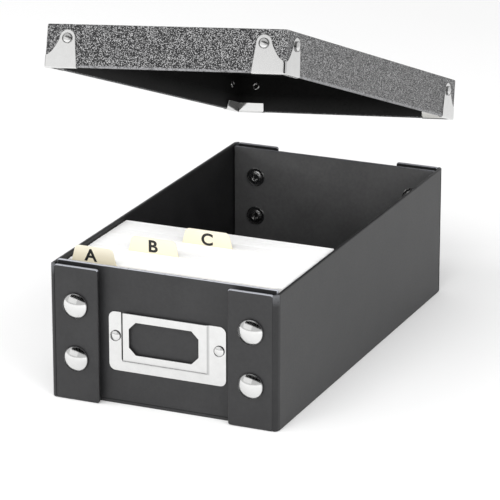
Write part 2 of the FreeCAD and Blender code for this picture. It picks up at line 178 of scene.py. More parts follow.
def outline(corners, steps=6):
    """A closed outline through (x, y, radius) corners, each rounded by an arc."""
    points = []
    for i, (x, y, radius) in enumerate(corners):
        here = Vector((x, y))
        if radius == 0:
            points.append(here)
            continue
        back = (Vector(corners[i - 1][:2]) - here).normalized()
        ahead = (Vector(corners[(i + 1) % len(corners)][:2]) - here).normalized()
        half = back.angle(ahead) / 2
        centre = here + (back + ahead).normalized() * radius / math.sin(half)
        start = here + back * radius / math.tan(half) - centre
        end = here + ahead * radius / math.tan(half) - centre
        first = math.atan2(start.y, start.x)
        turn = (math.atan2(end.y, end.x) - first + math.pi) % math.tau - math.pi
        for step in range(steps + 1):
            angle = first + turn * step / steps
            points.append(centre + radius * Vector((math.cos(angle), math.sin(angle))))
    return points


def refined(points, spacing):
    """The closed outline with no gap between points wider than spacing."""
    result = []
    for i, point in enumerate(points):
        ahead = points[(i + 1) % len(points)]
        parts = max(1, math.ceil((ahead - point).length / spacing))
        result.extend([point.lerp(ahead, part / parts) for part in range(parts)])
    return result


def circle(x, y, radius, segments=24):
    """A round opening, drawn clockwise."""
    angles = [-math.tau * i / segments for i in range(segments)]
    return [Vector((x + radius * math.cos(a), y + radius * math.sin(a))) for a in angles]


def inset_loop(loop, distance):
    """The loop moved to the left of its own direction, which is into the material."""
    moved = []
    for i, point in enumerate(loop):
        before = (point - loop[i - 1]).normalized()
        after = (loop[(i + 1) % len(loop)] - point).normalized()
        normal = Vector((-before.y - after.y, before.x + after.x))
        if normal.length < 1e-6:
            normal = Vector((-after.y, after.x))
        normal.normalize()
        share = max(0.5, normal.dot(Vector((-after.y, after.x))))
        moved.append(point + normal * distance / share)
    return moved


def anticlockwise(loop):
    """The loop in the direction that keeps the material on its left."""
    area = sum(loop[i - 1].cross(point) for i, point in enumerate(loop))
    return loop if area > 0 else loop[::-1]


def inside(point, loop):
    """Whether a point is within a closed loop."""
    crossings = 0
    for i, a in enumerate(loop):
        b = loop[i - 1]
        if (a.y > point.y) != (b.y > point.y):
            if point.x < (b.x - a.x) * (point.y - a.y) / (b.y - a.y) + a.x:
                crossings += 1
    return crossings % 2 == 1


def fill(loops, extra=()):
    """Triangles between the first loop and the openings, through the extra points."""
    points = []
    edges = []
    for loop in loops:
        first = len(points)
        points.extend(loop)
        edges.extend([(first + i, first + (i + 1) % len(loop)) for i in range(len(loop))])
    kept = [p for p in extra if inside(p, loops[0]) and not any(inside(p, h) for h in loops[1:])]
    points.extend(kept)
    found = delaunay_2d_cdt(points, edges, [], 0, 1e-9, True)
    places, triangles, sources = found[0], found[2], found[3]
    index = [source[0] for source in sources]
    faces = []
    for triangle in triangles:
        middle = sum((places[i] for i in triangle), Vector((0, 0))) / 3
        if inside(middle, loops[0]) and not any(inside(middle, h) for h in loops[1:]):
            faces.append(tuple(index[i] for i in triangle))
    return kept, faces


def no_wear(point):
    return 0.0


def plate(
    loops,
    thickness,
    edge,
    place,
    wear=no_wear,
    extra=(),
    finishes=(0, 0),
    rounds=3,
    inner_painted_shade=no_wear,
):
    """A sheet with rounded edges. place turns (u, v, depth behind the face) into a point.

    finishes are those of the face with the edges, and of the back. wear is on the rounded
    edges and inner_painted_shade on the extra points of the faces, painted shade in the label
    holder's steps.
    """
    shape = Shape()
    stations = []
    for i in range(rounds + 1):
        turn = math.pi / 2 * i / rounds
        stations.append((edge * (1 - math.sin(turn)), edge * (1 - math.cos(turn))))
    stations += [(inset, thickness - depth) for inset, depth in reversed(stations)]
    for loop in loops:
        rings = []
        values = []
        for inset, depth in stations:
            ring = inset_loop(loop, inset)
            rings.append([place(p.x, p.y, depth) for p in ring])
            on_edge = 0.0 if depth in (0, thickness) else 1.0
            values.extend([wear(p) * on_edge for p in loop])
        shape.add(*skin(rings), finish=finishes[0], wear=values)
    faces_of_sheet = [inset_loop(loop, edge) for loop in loops]
    kept, faces = fill(faces_of_sheet, extra)
    flat = [p for loop in faces_of_sheet for p in loop] + kept
    values = [0.0] * (len(flat) - len(kept)) + [inner_painted_shade(p) for p in kept]
    for depth, finish in ((0, finishes[0]), (thickness, finishes[1])):
        face_points = [place(p.x, p.y, depth) for p in flat]
        shape.add(face_points, faces, finish=finish, wear=values, broad=1)
    return shape


def on_end(y, outward):
    """Drawing plane on a face that looks along Y: u is X and v is Z."""
    return lambda u, v, depth: Vector((u, y - outward * depth, v))


def on_side(x, outward):
    """Drawing plane on a face that looks along X: u is Y and v is Z."""
    return lambda u, v, depth: Vector((x - outward * depth, u, v))


def on_level(z, outward):
    """Drawing plane on a face that looks along Z: u is X and v is Y."""
    return lambda u, v, depth: Vector((u, v, z - outward * depth))


def smooth_step(value):
    value = min(1.0, max(0.0, value))
    return value * value * (3 - 2 * value)


# ---- Materials ----


class Nodes:
    """A material's node tree, built with short calls."""

    def __init__(self, name):
        self.material = bpy.data.materials.new(name)
        self.material.use_nodes = True
        self.tree = self.material.node_tree
        self.shader = self.tree.nodes["Principled BSDF"]
        self.place = self.make("ShaderNodeTexCoord").outputs["Object"]

    def make(self, kind, **settings):
        item = self.tree.nodes.new(kind)
        for name, value in settings.items():
            setattr(item, name, value)
        return item

    def link(self, source, target):
        self.tree.links.new(source, target)

    def noise(self, scale, detail=3.0, roughness=0.55):
        item = self.make("ShaderNodeTexNoise")
        item.inputs["Scale"].default_value = scale
        item.inputs["Detail"].default_value = detail
        item.inputs["Roughness"].default_value = roughness
        self.link(self.place, item.inputs["Vector"])
        return item.outputs["Fac"]

    def cells(self, scale):
        item = self.make("ShaderNodeTexVoronoi", feature="F1")
        item.inputs["Scale"].default_value = scale
        self.link(self.place, item.inputs["Vector"])
        return item.outputs["Distance"]

    def ramp(self, source, low, high, to_low=0.0, to_high=1.0):
        item = self.make("ShaderNodeMapRange")
        item.inputs["From Min"].default_value = low
        item.inputs["From Max"].default_value = high
        item.inputs["To Min"].default_value = to_low
        item.inputs["To Max"].default_value = to_high
        self.link(source, item.inputs["Value"])
        return item.outputs["Result"]

    def maths(self, operation, first, second):
        item = self.make("ShaderNodeMath", operation=operation)
        for socket, value in zip(item.inputs, (first, second)):
            if isinstance(value, (int, float)):
                socket.default_value = value
            else:
                self.link(value, socket)
        return item.outputs["Value"]

    def blend(self, factor, first, second):
        item = self.make("ShaderNodeMix", data_type="RGBA")
        self.link(factor, item.inputs["Factor"])
        for socket, value in ((item.inputs["A"], first), (item.inputs["B"], second)):
            if isinstance(value, tuple):
                socket.default_value = (*value, 1.0)
            else:
                self.link(value, socket)
        return item.outputs["Result"]

    def bump(self, height, strength, distance):
        item = self.make("ShaderNodeBump")
        item.inputs["Strength"].default_value = strength
        item.inputs["Distance"].default_value = distance
        self.link(height, item.inputs["Height"])
        self.link(item.outputs["Normal"], self.shader.inputs["Normal"])

    def wear(self):
        item = self.make("ShaderNodeAttribute", attribute_name="wear")
        return item.outputs["Fac"]


def covered_board(name, dark, light, worn, rough, gleam=0.5):
    """Matt charcoal paper over board: faint mottling, fine tooth and rubbed edges.

    rough is about the middle of its roughness, and gleam its specular level.
    """
    nodes = Nodes(name)
    mottle = nodes.maths("ADD", nodes.noise(60, 3), nodes.noise(520, 3))
    colour = nodes.blend(nodes.ramp(mottle, 0.75, 1.25), dark, light)
    fray = nodes.ramp(nodes.noise(700, 3), 0.22, 0.4)
    rubbed = nodes.maths("MULTIPLY", nodes.wear(), fray)
    colour = nodes.blend(rubbed, colour, worn)
    nodes.link(colour, nodes.shader.inputs["Base Color"])
    gloss = nodes.ramp(nodes.noise(1100, 3), 0.2, 0.8, rough - 0.04, rough + 0.05)
    nodes.link(gloss, nodes.shader.inputs["Roughness"])
    tooth = nodes.maths("ADD", nodes.noise(3200, 2), nodes.noise(1500, 2))
    nodes.bump(tooth, 0.14, 0.03 * MM)
    nodes.shader.inputs["Specular IOR Level"].default_value = gleam
    return nodes.material


def leatherette():
    """Black pebbled leatherette with a fine irregular grain and rubbed edges; the pebble tops are
    painted light grey, a painted sheen standing for glints.
    """
    nodes = Nodes("black_leatherette_painted_glints")
    pebbles = nodes.ramp(nodes.cells(1500), 0.0, 0.75, 1.0, 0.0)
    creases = nodes.noise(850, 4, 0.7)
    height = nodes.maths("ADD", pebbles, creases)
    patches = nodes.ramp(nodes.noise(260, 3), 0.3, 0.7, -0.08, 0.08)
    # Painted highlights: the raised pebbles are blended from black up to light grey, painted
    # glints and sheen of the grain.
    shade = nodes.ramp(nodes.maths("ADD", height, patches), 0.80, 1.28)
    colour = nodes.blend(shade, (0.012, 0.012, 0.013), (0.44, 0.44, 0.442))
    fray = nodes.ramp(nodes.noise(500, 3), 0.3, 0.6)
    rubbed = nodes.maths("MULTIPLY", nodes.wear(), fray)
    colour = nodes.blend(rubbed, colour, (0.26, 0.26, 0.27))
    nodes.link(colour, nodes.shader.inputs["Base Color"])
    gloss = nodes.ramp(nodes.noise(900, 3), 0.2, 0.8, 0.36, 0.52)
    nodes.link(gloss, nodes.shader.inputs["Roughness"])
    nodes.bump(height, 0.7, 0.2 * MM)
    return nodes.material


def nickel(name, smooth, hazy):
    """Nickel plate with a soft haze between two roughnesses, darkened where wear is marked:
    painted shade in the turn of cap rims and in the label holder's steps.
    """
    nodes = Nodes(name)
    haze = nodes.noise(220, 4)
    colour = nodes.blend(nodes.ramp(haze, 0.3, 0.7), (0.67, 0.67, 0.665), (0.72, 0.72, 0.715))
    # Painted shade: dark where wear is marked, at cap and rivet rims and on the holder's step
    # slopes.
    colour = nodes.blend(nodes.wear(), colour, (0.10, 0.10, 0.105))
    nodes.link(colour, nodes.shader.inputs["Base Color"])
    nodes.link(nodes.ramp(haze, 0.2, 0.8, smooth, hazy), nodes.shader.inputs["Roughness"])
    nodes.shader.inputs["Metallic"].default_value = 1.0
    nodes.bump(nodes.noise(400, 2), 0.05, 0.1 * MM)
    return nodes.material


def card_paper(name, low_colour, high_colour, top, depth):
    """Uncoated card whose colour shifts from low_colour up to high_colour near its top edge:
    painted light, lighter towards the top where more light falls.
    """
    nodes = Nodes(name)
    split = nodes.make("ShaderNodeSeparateXYZ")
    nodes.link(nodes.place, split.inputs["Vector"])
    # Painted light: the colour lightens towards the top edge.
    painted_top_light = nodes.ramp(split.outputs["Z"], top - depth, top)
    fibres = nodes.maths("MULTIPLY", nodes.ramp(nodes.noise(1500, 4), 0.3, 0.7), 0.12)
    colour = nodes.blend(nodes.maths("SUBTRACT", painted_top_light, fibres), low_colour, high_colour)
    nodes.link(colour, nodes.shader.inputs["Base Color"])
    gloss = nodes.ramp(nodes.noise(600, 3), 0.2, 0.8, 0.62, 0.74)
    nodes.link(gloss, nodes.shader.inputs["Roughness"])
    nodes.bump(nodes.noise(3000, 3), 0.2, 0.03 * MM)
    return nodes.material


def printing_ink():
    """Black printed ink, a little thinner here and there."""
    nodes = Nodes("printing_ink")
    thin = nodes.ramp(nodes.noise(2500, 3), 0.35, 0.75)
    colour = nodes.blend(thin, (0.006, 0.006, 0.006), (0.03, 0.03, 0.03))
    nodes.link(colour, nodes.shader.inputs["Base Color"])
    nodes.link(nodes.ramp(thin, 0, 1, 0.5, 0.65), nodes.shader.inputs["Roughness"])
    return nodes.material


def pale_floor():
    """The studio's matt, nearly white floor."""
    nodes = Nodes("pale_floor")
    tint = nodes.ramp(nodes.noise(3, 2), 0.3, 0.7)
    colour = nodes.blend(tint, (0.93, 0.93, 0.93), (0.95, 0.95, 0.95))
    nodes.link(colour, nodes.shader.inputs["Base Color"])
    nodes.shader.inputs["Roughness"].default_value = 0.9
    nodes.shader.inputs["Specular IOR Level"].default_value = 0.1
    return nodes.material


BOARD = covered_board(
    "box_board_paper", (0.016, 0.016, 0.017), (0.022, 0.022, 0.023), (0.42, 0.43, 0.47), 0.50
)
# Painted shade: the bent corners get a darker copy of the board paper, standing for shade in the
# bends.
CREASE_PAINTED_SHADE = covered_board(
    "box_crease_painted_shade", (0.008, 0.008, 0.009), (0.012, 0.012, 0.013), (0.30, 0.31, 0.33), 0.5
)
LINING = covered_board(
    "box_lining_paper", (0.014, 0.014, 0.015), (0.022, 0.022, 0.023), (0.20, 0.20, 0.21), 0.52
)
# Painted light: a much lighter copy of the lining paper for the back panel's inside, which faces
# the lamps.
BACK_LINING_PAINTED_LIGHT = covered_board(
    "back_lining_painted_light", (0.11, 0.11, 0.111), (0.135, 0.135, 0.136), (0.3, 0.3, 0.31), 0.55
)
LEATHER = leatherette()
LID_LINING = covered_board(
    "lid_lining_paper",
    (0.008, 0.008, 0.008),
    (0.012, 0.012, 0.012),
    (0.1, 0.1, 0.1),
    0.7,
    gleam=0.08,
)
NICKEL = nickel("bright_nickel", 0.09, 0.18)
SATIN_NICKEL = nickel("satin_nickel", 0.2, 0.3)
CARD_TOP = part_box("card_pack_1")[1].z
TAB_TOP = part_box("guide_a_card")[1].z
TAB_RISE = TAB_TOP - CARD_TOP
WHITE_CARD = card_paper(
    "white_card", (0.94, 0.94, 0.935), (0.97, 0.97, 0.968), top=CARD_TOP, depth=40 * MM
)
CREAM_GUIDE = card_paper(
    "cream_guide", (0.85, 0.77, 0.57), (0.87, 0.82, 0.68), top=TAB_TOP, depth=TAB_RISE * 1.2
)
INK = printing_ink()

# ---- Box boards ----

EDGE = 0.5 * MM
WOBBLE = 0.12 * MM


def board_outline(u_low, u_high, v_low, v_high, seed, corner=0.8 * MM):
    """A board's outline whose cut edges waver very slightly."""
    corners = [
        (u_low, v_low, corner),
        (u_high, v_low, corner),
        (u_high, v_high, corner),
        (u_low, v_high, corner),
    ]
    wavering = []
    for point in refined(outline(corners, steps=4), 2.5 * MM):
        value = noise.noise(Vector((point.x * 260, point.y * 260, seed * 7.3)))
        wavering.append(point - Vector((0, abs(value) * WOBBLE if point.y > v_high - EDGE else 0)))
    return wavering


def top_wear(v_high, amount):
    """Wear that shows only on the edge at v_high."""
    return lambda point: amount if point.y > v_high - 0.9 * MM else 0.0


def snap_places(end_name):
    """The (x, z) places of the snaps at one end, by side, from the CAD caps."""
    places = {}
    for side_name in SIDES:
        low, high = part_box(f"{end_name}_{side_name}_snap_caps")
        radius = (high.x - low.x) / 2
        x = (low.x + high.x) / 2
        places[side_name] = [(x, low.z + radius), (x, high.z - radius)]
    return places


SNAPS = {end_name: snap_places(end_name) for end_name in ENDS}
CAP_RADIUS = (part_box("front_left_snap_caps")[1].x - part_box("front_left_snap_caps")[0].x) / 2
CAP_POST_RADIUS = 1.6 * MM
STUD_POST_RADIUS = 2.2 * MM
FIT_GAP = 0.05 * MM


def make_walls():
    for seed, (side_name, side) in enumerate(SIDES.items()):
        node = f"{side_name}_side_wall"
        low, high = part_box(node)
        outside = high.x if side == RIGHT else low.x
        face = board_outline(low.y, high.y, low.z, high.z, seed, corner=0.6 * MM)
        shape = plate([face], high.x - low.x, EDGE, on_side(outside, side), finishes=(0, 1))
        make_piece(f"{side_name}_wall_board", shape, "box", "box_board", [BOARD, LINING], [node])
    low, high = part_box("bottom_panel")
    fold_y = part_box("back_panel_crease")[0].y
    face = board_outline(low.x, high.x, low.y, fold_y, 3, corner=0.6 * MM)
    shape = plate([face], high.z - low.z, EDGE, on_level(low.z, -1), finishes=(0, 1))
    make_piece("floor_board", shape, "box", "box_board", [BOARD, LINING], ["bottom_panel"])


def make_end_panels():
    for end_name, end in ENDS.items():
        node = f"{end_name}_panel"
        low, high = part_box(node)
        outside = low.y if end == FRONT else high.y
        openings = []
        for places in SNAPS[end_name].values():
            openings.extend([circle(x, z, STUD_POST_RADIUS) for x, z in places])
        loops = [board_outline(low.x, high.x, low.z, high.z, 5 + end)] + openings
        body = "box" if end == FRONT else "back_panel"
        thickness = high.y - low.y
        worn = top_wear(high.z, 1.0 if end == FRONT else 0.3)
        shape = plate(loops, thickness, EDGE, on_end(outside, end), worn, finishes=(0, 1))
        # The back panel's inside gets the lighter lining copy, painted light.
        lining = LINING if end == FRONT else BACK_LINING_PAINTED_LIGHT
        make_piece(f"{end_name}_panel_board", shape, body, "box_board", [BOARD, lining], [node])


def make_flaps():
    for end_name, end in ENDS.items():
        for side_name, side in SIDES.items():
            node = f"{end_name}_{side_name}_flap"
            low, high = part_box(node)
            outside = low.y if end == FRONT else high.y
            seed = 10 + 3 * end + side
            openings = [circle(x, z, CAP_POST_RADIUS) for x, z in SNAPS[end_name][side_name]]
            loops = [board_outline(low.x, high.x, low.z, high.z, seed, corner=1.2 * MM)] + openings
            thickness = high.y - low.y
            worn = top_wear(high.z, 0.8)
            shape = plate(loops, thickness, EDGE, on_end(outside, end), worn, finishes=(0, 1))
            make_piece(f"{node}_board", shape, node, "box_board", [BOARD, LINING], [node])


def bent_strip(centre, inner, outer, start, end, length_low, length_high, place, end_wear=0.0):
    """A strip of board bent about centre, from start to end degrees, drawn in the plane of place.

    end_wear is the wear of its edge at length_high.
    """
    edge = 0.4 * MM
    steps = 12
    profile = arc(*centre, outer, start, end, steps) + arc(*centre, inner, end, start, steps)
    stations = [(edge, 0.0), (0.3 * edge, 0.3 * edge), (0.0, edge)]
    levels = [(inset, length_low + rise) for inset, rise in stations]
    for i in range(1, steps):
        levels.append((0.0, length_low + (length_high - length_low) * i / steps))
    levels += [(inset, length_high - rise) for inset, rise in reversed(stations)]
    rings = []
    wear = []
    loop = anticlockwise([Vector(point) for point in profile])
    for inset, level in levels:
        ring = inset_loop(loop, inset)
        rings.append([place(p.x, p.y, level) for p in ring])
        worn = end_wear if level > length_high - 2 * edge else 0.0
        wear.extend([worn] * len(ring))
    shape = Shape()
    points, faces = skin(rings)
    shape.add(points, faces, wear=wear)
    around = len(loop)
    shape.cover([tuple(range(around)), tuple(range(len(points) - around, len(points)))], broad=1)
    return shape


def make_creases():
    """The board bent round each upright corner, and round the foot of the back panel, in darker
    paper: painted shade in the bends.
    """
    for end_name, end in ENDS.items():
        for side_name, side in SIDES.items():
            node = f"{end_name}_{side_name}_crease"
            flap = f"{end_name}_{side_name}_flap"
            low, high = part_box(node)
            flap_low, flap_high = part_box(flap)
            axis = ((low.x + high.x) / 2, (low.y + high.y) / 2)
            reach = abs((flap_low.y if end == FRONT else flap_high.y) - axis[1])
            inner = reach - (flap_high.y - flap_low.y)
            start = 0 if side == RIGHT else 180
            turn = 90 * end * side
            shape = bent_strip(
                axis,
                inner,
                reach,
                start,
                start + turn,
                flap_low.z,
                flap_high.z,
                lambda u, v, level: Vector((u, v, level)),
                end_wear=0.3,
            )
            piece = make_piece(f"{node}_board", shape, None, "box_board", [CREASE_PAINTED_SHADE], [node])
            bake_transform(piece)
    low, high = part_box("back_panel_crease")
    axis = ((low.y + high.y) / 2, (low.z + high.z) / 2)
    panel_low, panel_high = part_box("back_panel")
    outer = panel_high.y - axis[0]
    inner = panel_low.y - axis[0]
    shape = bent_strip(
        axis, inner, outer, -90, 0, low.x, high.x, lambda u, v, level: Vector((level, u, v))
    )
    node = "back_panel_crease"
    piece = make_piece(f"{node}_board", shape, None, "box_board", [CREASE_PAINTED_SHADE], [node])
    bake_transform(piece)


# ---- Snaps ----


def cap_profile(radius, rise, post, depth):
    """A pressed dome with a rolled rim, and the post that goes through the board."""
    rim = 0.55 * MM
    crown = radius - rim * 0.6
    ball = (crown**2 + (rise - rim) ** 2) / (2 * (rise - rim))
    sweep = math.asin(crown / ball)
    profile = []
    for i in range(13):
        angle = sweep * i / 12
        profile.append((ball * math.sin(angle), rise - ball + ball * math.cos(angle)))
    profile += arc(radius - rim, rim, rim, 40, -90, 8)
    profile += [(radius - 2.2 * rim, 0.25 * rim), (post, 0.0), (post, -depth), (0.0, -depth)]
    return profile


def cap_rim_shade(profile, radius):
    """Painted shade in the turn of a cap's rim: a dark outline where the rim is in shade."""
    return [0.8 if r > 0.955 * radius else 0.0 for r, _ in profile]


def socket_profile(radius, bore, depth):
    """The gripping ring on the inside of a flap, as a closed section."""
    lip = 0.5 * MM
    section = [(bore + lip, 0.0), (radius, 0.0)]
    section += arc(radius - lip, lip, lip, 0, 90, 4)
    section += [(radius - 2.2 * lip, 2.2 * lip), (bore + 2 * lip, depth)]
    section += arc(bore + lip, depth - lip, lip, 90, 180, 4)
    return section


def stud_profile(flange, sheet, neck, head, length, post, depth):
    """The stud on the outside of a panel, with its post through the panel."""
    profile = [(0.0, -depth), (post, -depth), (post, 0.0), (flange, 0.0)]
    profile += arc(flange - sheet / 2, sheet / 2, sheet / 2, -60, 90, 5)
    profile += [(neck + 0.3 * MM, sheet), (neck, sheet + 0.3 * MM)]
    profile += arc(head - 0.75 * MM, length - 0.8 * MM, 0.75 * MM, -60, 90, 7)
    profile.append((0.0, length - 0.05 * MM))
    return profile


def eyelet_profile(flange, sheet, collar, rise, bore):
    """The washer and rolled collar on the inside of a panel, as a closed section."""
    section = [(bore + 0.3 * MM, 0.0), (flange - 0.3 * MM, 0.0)]
    section += arc(flange - 0.4 * MM, 0.4 * MM, 0.4 * MM, -60, 80, 5)
    section += [(flange - 1.4 * MM, sheet * 0.62), (collar + 0.5 * MM, sheet * 0.75)]
    section += arc(collar - 0.8 * MM, rise - 0.8 * MM, 0.8 * MM, 0, 130, 6)
    section += [(bore + 0.5 * MM, rise * 0.55), (bore, rise * 0.3)]
    return section


def make_snaps():
    for end_name, end in ENDS.items():
        outward = Vector((0, end, 0))
        panel_low, panel_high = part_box(f"{end_name}_panel")
        panel_out = panel_low.y if end == FRONT else panel_high.y
        panel_in = panel_high.y if end == FRONT else panel_low.y
        panel_body = "box" if end == FRONT else "back_panel"
        stud_low, stud_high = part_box(f"{end_name}_snap_studs")
        eyelet_low, eyelet_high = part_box(f"{end_name}_snap_eyelets")
        stud_reach = abs((stud_low.y if end == FRONT else stud_high.y) - panel_out)
        eyelet_reach = eyelet_high.y - eyelet_low.y
        board = panel_high.y - panel_low.y
        stud = stud_profile(
            flange=5.0 * MM,
            sheet=0.6 * MM,
            neck=1.5 * MM,
            head=1.9 * MM,
            length=stud_reach,
            post=STUD_POST_RADIUS - FIT_GAP,
            depth=board,
        )
        eyelet = eyelet_profile(
            flange=6.0 * MM, sheet=0.9 * MM, collar=3.4 * MM, rise=eyelet_reach, bore=1.5 * MM
        )
        studs = Shape()
        eyelets = Shape()
        for side_name, places in SNAPS[end_name].items():
            flap = f"{end_name}_{side_name}_flap"
            low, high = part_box(flap)
            flap_out = low.y if end == FRONT else high.y
            flap_in = high.y if end == FRONT else low.y
            cap_low, cap_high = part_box(f"{flap[:-5]}_snap_caps")
            rise = abs((cap_low.y if end == FRONT else cap_high.y) - flap_out)
            socket_low, socket_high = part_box(f"{flap[:-5]}_snap_sockets")
            socket_radius = (socket_high.x - socket_low.x) / 2
            socket_depth = socket_high.y - socket_low.y
            caps = Shape()
            sockets = Shape()
            for x, z in places:
                cap = cap_profile(CAP_RADIUS, rise, CAP_POST_RADIUS - FIT_GAP, board)
                rim_shade = cap_rim_shade(cap, CAP_RADIUS)
                lathe(caps, cap, Vector((x, flap_out, z)), outward, rim_shade=rim_shade)
                ring = socket_profile(socket_radius, bore=2.2 * MM, depth=socket_depth)
                lathe(sockets, ring, Vector((x, flap_in, z)), -outward, joined=True)
                lathe(studs, stud, Vector((x, panel_out, z)), outward)
                lathe(eyelets, eyelet, Vector((x, panel_in, z)), -outward, joined=True)
            stem = f"{end_name}_{side_name}_snap"
            make_piece(f"{stem}_domes", caps, flap, "bright_nickel", [NICKEL], [f"{stem}_caps"])
            node = f"{stem}_sockets"
            make_piece(f"{stem}_rings", sockets, flap, "bright_nickel", [NICKEL], [node])
        stem = f"{end_name}_snap"
        node = f"{stem}_studs"
        make_piece(f"{stem}_stud_posts", studs, panel_body, "bright_nickel", [NICKEL], [node])
        name, node = f"{stem}_eyelet_rings", f"{stem}_eyelets"
        make_piece(name, eyelets, panel_body, "bright_nickel", [SATIN_NICKEL], [node])


# ---- Label holder ----


def make_label_holder():
    low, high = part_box("label_holder")
    back = high.y
    sheet = 0.6 * MM
    stand_off = back - low.y - sheet
    slot_x = low.x + 8.0 * MM
    slit = 1.2 * MM
    step_x = high.x - 10.1 * MM
    step_z = low.z + 5.6 * MM
    ramp = 1.7 * MM
    middle_x = (low.x + high.x) / 2 - 1.7 * MM
    middle_z = low.z + 20.9 * MM
    half_w, half_h, cut = 21.45 * MM, 9.7 * MM, 4.3 * MM
    corner = 4.0 * MM
    slit_foot = step_z + 1.2 * MM
    rim = [
        (low.x, low.z, corner),
        (high.x, low.z, corner),
        (high.x, high.z, corner),
        (slot_x + slit, high.z, 0.5 * MM),
        (slot_x + slit, slit_foot, 0.45 * MM),
        (slot_x, slit_foot, 0.45 * MM),
        (slot_x, high.z, 0.5 * MM),
        (low.x, high.z, corner),
    ]
    window = []
    right_cuts = [(1, 1, 1), (1, 1, 0), (1, -1, 0), (1, -1, 1)]
    left_cuts = [(-1, -1, 1), (-1, -1, 0), (-1, 1, 0), (-1, 1, 1)]
    for sx, sz, along_x in right_cuts + left_cuts:
        x = middle_x + sx * (half_w - (cut if along_x else 0))
        z = middle_z + sz * (half_h - (0 if along_x else cut))
        window.append((x, z, 0.4 * MM))
    loops = [refined(outline(rim), 1.2 * MM), refined(outline(window, 3), 1.2 * MM)]

    def relief(u, v):
        """How far the frame stands proud: level, with soft steps to its right and below."""
        if u < slot_x + slit / 2:
            return 0.0
        right = (step_x - u) / ramp
        below = (v - step_z) / ramp
        return stand_off * min(smooth_step(right), smooth_step(below))

    def step_shade(point):
        """Painted shade in the middle of the soft steps, darker on the slopes where shade falls.
        """
        rise = relief(point.x, point.y) / stand_off
        return 0.5 * max(0.0, 4 * rise * (1 - rise))

    extra = []
    spacing = 0.55 * MM
    reach = 1.6 * ramp
    u = low.x + 1.0 * MM
    while u < high.x:
        v = low.z + 0.8 * MM
        while v < high.z:
            near_step = abs(u - step_x + ramp / 2) < reach or abs(v - step_z - ramp / 2) < reach
            if near_step or (round(u / MM) % 3 == 0 and round(v / MM) % 3 == 0):
                extra.append(Vector((u, v)))
            v += spacing
        u += spacing
    shape = plate(
        loops,
        sheet,
        0.22 * MM,
        lambda u, v, depth: Vector((u, back - sheet - relief(u, v) + depth, v)),
        extra=extra,
        rounds=2,
        inner_painted_shade=step_shade,
    )
    node = "label_holder"
    make_piece(f"{node}_frame", shape, "box", "bright_nickel", [NICKEL], [node], **PRESSED)
    rivet_low, rivet_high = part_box("label_holder_rivets")
    radius = (rivet_high.z - rivet_low.z) / 2
    rise = back - sheet - rivet_low.y
    shape = Shape()
    for x in (rivet_low.x + radius, rivet_high.x - radius):
        centre = Vector((x, back - sheet, (rivet_low.z + rivet_high.z) / 2))
        profile = cap_profile(radius, rise, 1.2 * MM, 2.0 * MM)
        rim_shade = cap_rim_shade(profile, radius)
        lathe(shape, profile, centre, Vector((0, -1, 0)), segments=32, rim_shade=rim_shade)
    node = "label_holder_rivets"
    make_piece("label_holder_rivet_heads", shape, "box", "bright_nickel", [NICKEL], [node])


# ---- Cards and lettered guides ----


def make_guides():
    tab_base, tab_top = 32.0 * MM, 27.0 * MM
    tab_step = 25.4 * MM
    edge_margin = 3.0 * MM
    shoulder = CARD_TOP - 1.0 * MM
    letter_drops = {"A": 0.6 * MM, "B": 0.2 * MM, "C": 0.8 * MM}
    for place, letter in enumerate("ABC"):
        body = f"guide_{letter.lower()}"
        node = f"{body}_card"
        low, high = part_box(node)
        middle = low.x + tab_step * (place + 0.5)
        foot_low = max(low.x + 0.6 * MM, middle - tab_base / 2)
        foot_high = middle + tab_base / 2
        head_low = max(low.x + edge_margin, middle - tab_top / 2)
        at_edge = foot_low - low.x < edge_margin
        corners = [
            (low.x, low.z, 1.0 * MM),
            (high.x, low.z, 1.0 * MM),
            (high.x, shoulder, 1.0 * MM),
            (foot_high, shoulder, 2.0 * MM),
            (middle + tab_top / 2, high.z, 3.0 * MM),
            (head_low, high.z, 3.0 * MM),
            (foot_low, shoulder, 0.3 * MM if at_edge else 2.0 * MM),
        ]
        if not at_edge:
            corners.append((low.x, shoulder, 1.0 * MM))
        face = refined(outline(corners), 3 * MM)
        shape = plate([face], high.y - low.y, 0.12 * MM, on_end(low.y, -1), rounds=2)
        make_piece(f"{body}_sheet", shape, body, "cream_guide", [CREAM_GUIDE], [node])
        letter_z = (CARD_TOP + high.z) / 2 - letter_drops[letter]
        make_letter(letter, body, middle, letter_z, low.y)


def make_letter(letter, body, x, z, face_y):
    """A printed index letter on the front of a guide's tab."""
    curve = bpy.data.curves.new(f"{body}_letter_outline", "FONT")
    curve.body = letter
    curve.align_x = "CENTER"
    curve.align_y = "CENTER"
    curve.size = 9.8 * MM
    curve.offset = 0.28 * MM
    curve.extrude = 0.02 * MM
    carrier = bpy.data.objects.new(f"{body}_letter_carrier", curve)
    bpy.context.scene.collection.objects.link(carrier)
    bpy.context.view_layer.update()
    mesh = bpy.data.meshes.new_from_object(carrier)
    bpy.data.objects.remove(carrier)
    xs = [v.co.x for v in mesh.vertices]
    ys = [v.co.y for v in mesh.vertices]
    centre = Vector(((min(xs) + max(xs)) / 2, (min(ys) + max(ys)) / 2, 0))
    stand = Matrix.Translation((x, face_y - 0.03 * MM, z)) @ Matrix.Rotation(math.pi / 2, 4, "X")
    broaden = Matrix.Diagonal((1.1, 1.0, 1.0, 1.0))
    mesh.transform(stand @ broaden @ Matrix.Translation(-centre))
    mesh.materials.clear()
    mesh.materials.append(INK)
    piece = bpy.data.objects.new(f"{body}_letter", mesh)
    bpy.context.scene.collection.objects.link(piece)
    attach(piece, body)


